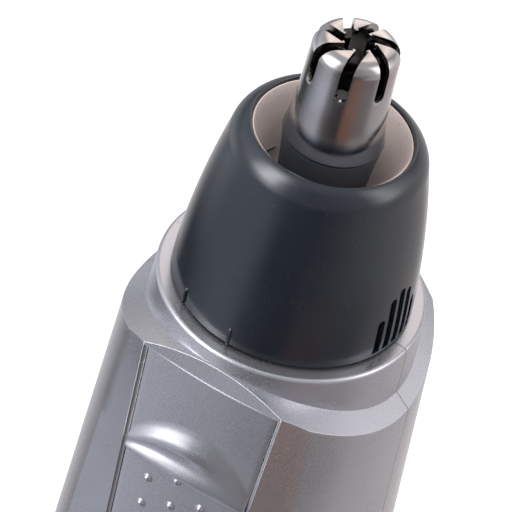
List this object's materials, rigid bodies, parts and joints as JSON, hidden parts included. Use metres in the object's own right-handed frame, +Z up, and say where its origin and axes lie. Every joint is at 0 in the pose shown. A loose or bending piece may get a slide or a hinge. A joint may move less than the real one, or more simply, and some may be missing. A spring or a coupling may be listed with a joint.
{
  "type": "nose hair trimmer",
  "caption": "Cordless nose hair trimmer with a slotted round blade tip in a conical suction head, a sliding power switch on a silver body, and a pull-off battery cover.",
  "frame": {"origin": "centre of the flat base that the trimmer stands on, below the blade's axis", "axes": "+Z up along the body and the blade's axis to the tip, -Y towards the front with the power switch, +X to the right seen from the front"},
  "size_m": [0.0358, 0.0328, 0.1347],
  "materials": {
    "silver_paint": "fine metallic silver-grey paint, satin sheen",
    "slate_plastic": "glossy dark slate-grey moulding",
    "satin_silver": "warm satin silver lining",
    "blade_steel": "polished stainless steel",
    "rubber": "matt black rubber",
    "white_plastic": "natural white moulding",
    "plated_steel": "zinc-plated steel",
    "brass": "plain rolled brass",
    "black_plastic": "matt black moulding",
    "mesh_steel": "fine woven steel mesh",
    "cell_wrap": "printed film over the cell's metal can, plain dark blue",
    "red_insulation": "red cable insulation"
  },
  "bodies": {
    "housing": {"front_shell": "silver_paint", "rear_shell": "silver_paint", "shell_screw_lower_left": "plated_steel", "shell_screw_lower_right": "plated_steel", "shell_screw_upper_left": "plated_steel", "shell_screw_upper_right": "plated_steel", "fan_housing": "black_plastic", "filter_frame": "black_plastic", "filter_mesh": "mesh_steel", "shaft_bush": "brass", "motor_can": "plated_steel", "motor_end_bell": "black_plastic", "motor_terminal_left": "brass", "motor_terminal_right": "brass", "chassis": "black_plastic", "positive_contact": "brass", "negative_strip": "brass", "switch_contact_left": "brass", "switch_contact_right": "brass", "lead_battery": "red_insulation", "lead_switch": "red_insulation", "lead_return": "black_plastic"},
    "head": {"head_cover": "slate_plastic", "head_seal": "rubber", "intake_funnel": "satin_silver"},
    "blade_block": {"blade_neck": "slate_plastic", "outer_blade": "blade_steel"},
    "rotor": {"inner_blade": "blade_steel", "inner_blade_holder": "white_plastic", "blade_spring": "plated_steel", "drive_shaft": "plated_steel", "shaft_coupling": "white_plastic", "impeller": "black_plastic", "motor_shaft": "plated_steel"},
    "switch": {"power_switch": "silver_paint", "switch_carriage": "black_plastic", "switch_moving_contact": "brass"},
    "cover": {"battery_cover": "silver_paint", "cover_seal": "rubber", "negative_plate": "brass", "negative_spring": "plated_steel"},
    "battery": {"battery_cell": "cell_wrap", "battery_terminal": "plated_steel"}
  },
  "joints": [
    {"name": "head_lift", "type": "slide", "parent": "housing", "child": "head", "axis": [0, 0, 1], "range_m": [0, 0.028]},
    {"name": "blade_lock", "type": "hinge", "parent": "head", "child": "blade_block", "pos_m": [0, 0, 0.1159], "axis": [0, 0, 1], "range_deg": [0, 25]},
    {"name": "rotor_spin", "type": "hinge", "parent": "housing", "child": "rotor", "pos_m": [0, 0, 0.1], "axis": [0, 0, 1], "continuous": true},
    {"name": "switch_slide", "type": "slide", "parent": "housing", "child": "switch", "axis": [0, 0.0624, 0.9981], "range_m": [-0.0025, 0]},
    {"name": "cover_slide", "type": "slide", "parent": "housing", "child": "cover", "axis": [0, 0, -1], "range_m": [0, 0.06]},
    {"name": "battery_slide", "type": "slide", "parent": "housing", "child": "battery", "axis": [0, 0, -1], "range_m": [0, 0.024]}
  ],
  "couplings": [
    {"joint": "battery_slide", "follows": "cover_slide", "ratio": 0.4}
  ]
}
